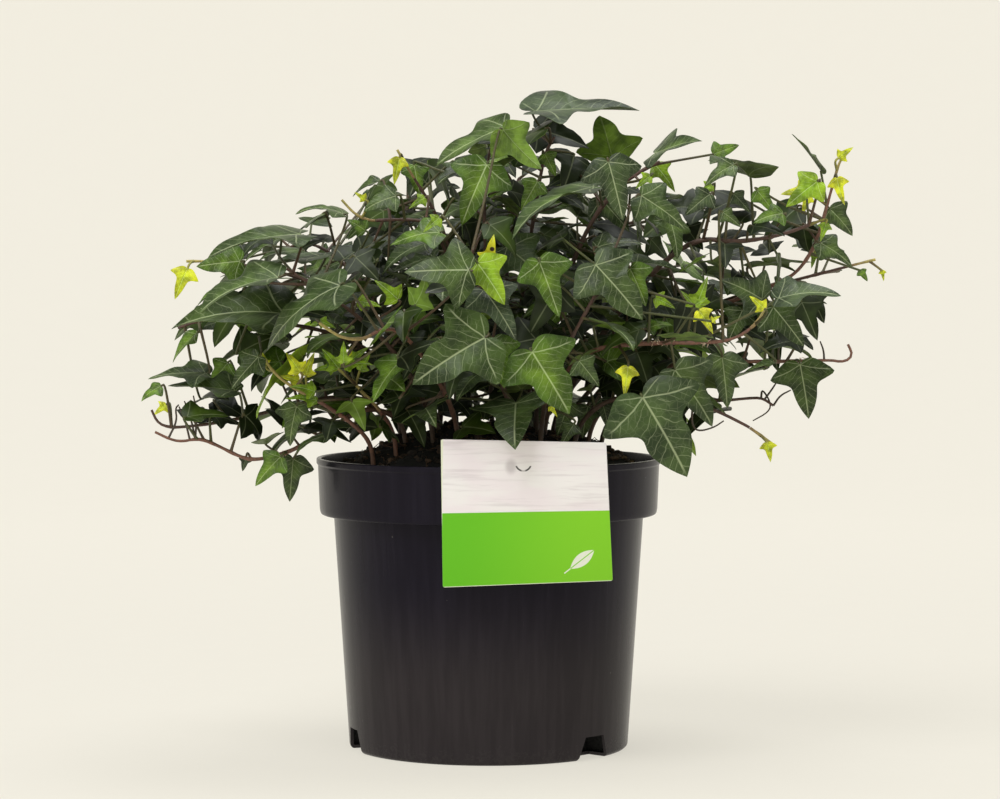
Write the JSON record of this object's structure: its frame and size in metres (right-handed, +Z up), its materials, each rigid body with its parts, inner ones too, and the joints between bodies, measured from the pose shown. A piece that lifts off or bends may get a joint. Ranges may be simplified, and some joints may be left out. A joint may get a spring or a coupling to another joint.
{
  "type": "potted english ivy",
  "caption": "Bushy trailing ivy with lobed leaves in a round black nursery pot of soil, with a plain plant label over the rim.",
  "frame": {"origin": "middle of the pot's flat underside", "axes": "+Z up along the pot's axis, -Y towards the side with the label, +X to the right of it"},
  "size_m": [0.4073, 0.2711, 0.3629],
  "materials": {
    "pot_plastic": "thin black plastic, half glossy, a little dusty",
    "soil": null,
    "label_card": "thin white plastic sheet, printed pale above and green below",
    "foliage": null,
    "young_foliage": null
  },
  "bodies": {
    "root": {"label": "label_card", "pot": "pot_plastic", "soil": "soil", "stem_back_1": "foliage", "stem_back_2": "foliage", "stem_back_3": "foliage", "stem_back_4": "foliage", "stem_back_5": "foliage", "stem_back_6": "foliage", "stem_back_7": "foliage", "stem_back_8": "foliage", "stem_far_right": "foliage", "stem_far_right_tip": "young_foliage", "stem_front_left": "foliage", "stem_front_middle": "foliage", "stem_front_right": "foliage", "stem_front_twig": "foliage", "stem_front_twig_tip": "young_foliage", "stem_left_high": "foliage", "stem_left_high_tip": "young_foliage", "stem_left_low": "foliage", "stem_left_mid": "foliage", "stem_left_out": "foliage", "stem_left_sprig": "foliage", "stem_left_sprig_tip": "young_foliage", "stem_left_young": "foliage", "stem_left_young_tip": "young_foliage", "stem_right_hanging": "foliage", "stem_right_hanging_tip": "young_foliage", "stem_right_high": "foliage", "stem_right_low": "foliage", "stem_right_mid": "foliage", "stem_right_mid_tip": "young_foliage", "stem_right_rising": "foliage", "stem_right_rising_tip": "young_foliage", "stem_right_twig": "foliage", "stem_top_left": "foliage", "stem_top_left_tip": "young_foliage", "stem_top_middle": "foliage", "stem_top_right": "foliage", "stem_upper_left": "foliage", "stem_upper_left_tip": "young_foliage", "stem_upper_right": "foliage"}
  },
  "joints": []
}
